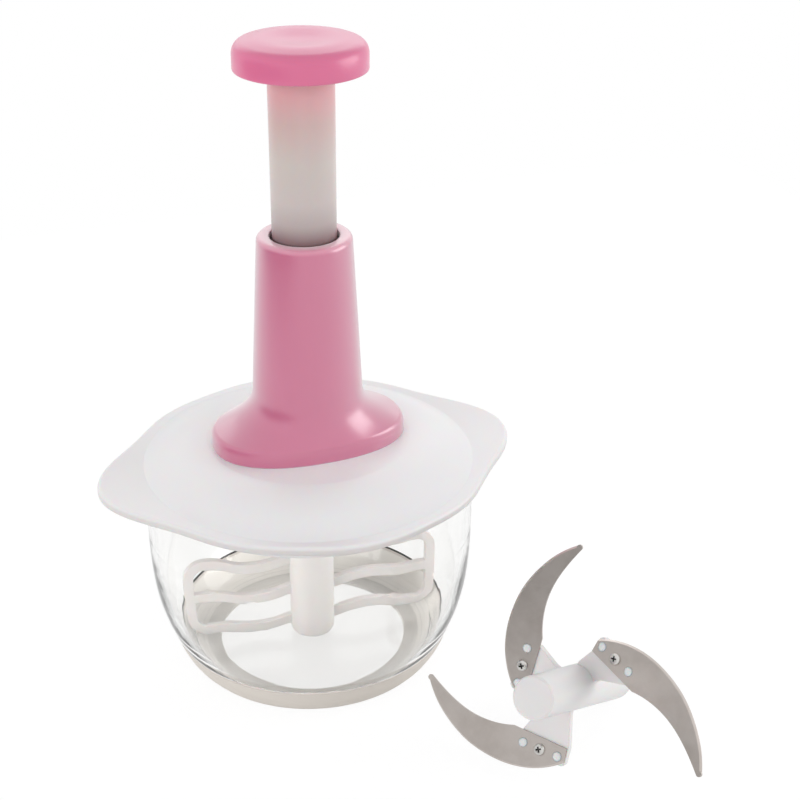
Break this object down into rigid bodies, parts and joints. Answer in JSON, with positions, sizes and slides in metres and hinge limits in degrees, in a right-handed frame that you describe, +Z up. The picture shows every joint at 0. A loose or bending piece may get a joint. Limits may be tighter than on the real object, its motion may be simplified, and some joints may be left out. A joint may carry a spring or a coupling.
{
  "type": "plunger food chopper",
  "caption": "Hand food chopper: clear bowl on a soft base ring, lobed lid with a push plunger that spins a mixing paddle, and a spare blade set lying beside it.",
  "frame": {"origin": "on the bowl's axis, in the plane of the table that the base ring stands on", "axes": "+Z up along the plunger; +X through the middle of one finger lobe of the lid, so +Y is across the lobes; the spare blade set lies towards +X and -Y"},
  "size_m": [0.2047, 0.2441, 0.2739],
  "materials": {
    "clear_plastic": "clear gloss moulded plastic",
    "soft_rubber": "pale grey soft moulded rubber",
    "seal_rubber": "pale silicone",
    "milky_plastic": "milky white, slightly translucent, gloss",
    "pink_plastic": "pink gloss",
    "white_plastic": "white satin gloss",
    "natural_plastic": "natural uncoloured bearing plastic",
    "steel": "bright stainless steel",
    "spring_steel": "drawn spring wire",
    "blade_steel": "satin stainless blade steel"
  },
  "bodies": {
    "bowl": {"bowl": "clear_plastic", "base_ring": "soft_rubber"},
    "lid": {"lid": "milky_plastic", "spindle_bush": "natural_plastic", "spindle_seal": "seal_rubber", "thrust_washer": "steel", "mechanism_cover": "white_plastic", "cover_screws": "steel", "sleeve": "pink_plastic", "sleeve_screws": "steel", "guide_bush": "natural_plastic", "return_spring": "spring_steel"},
    "plunger": {"plunger_tube": "milky_plastic", "plunger_knob": "pink_plastic", "drive_nut": "natural_plastic"},
    "drive": {"spiral_rod": "steel", "spring_seat": "natural_plastic", "clutch_driver": "natural_plastic"},
    "rotor": {"clutch_hub": "natural_plastic", "drive_spindle": "white_plastic", "paddle": "white_plastic"},
    "blade_set": {"blade_hub": "white_plastic", "blade_upper": "blade_steel", "blade_middle": "blade_steel", "blade_lower": "blade_steel", "blade_screws": "steel"}
  },
  "joints": [
    {"name": "lid_lift", "type": "slide", "parent": "bowl", "child": "lid", "axis": [0, 0, 1], "range_m": [0, 0.1]},
    {"name": "plunger_press", "type": "slide", "parent": "lid", "child": "plunger", "axis": [0, 0, -1], "range_m": [0, 0.062], "stiffness_N_per_m": 200, "springref_m": -0.02, "deforming": ["return_spring"]},
    {"name": "rod_spin", "type": "hinge", "parent": "lid", "child": "drive", "pos_m": [0, 0, 0.1], "axis": [0, 0, 1], "range_deg": [-725, 5]},
    {"name": "rotor_spin", "type": "hinge", "parent": "lid", "child": "rotor", "pos_m": [0, 0, 0.09], "axis": [0, 0, 1], "range_deg": [-725, 5]},
    {"name": "blade_lift", "type": "slide", "parent": "bowl", "child": "blade_set", "axis": [0, 0, 1], "range_m": [0, 0.1]}
  ],
  "couplings": [
    {"joint": "rod_spin", "follows": "plunger_press", "rad_per_m": -202.68},
    {"joint": "rotor_spin", "follows": "plunger_press", "rad_per_m": -202.68}
  ]
}
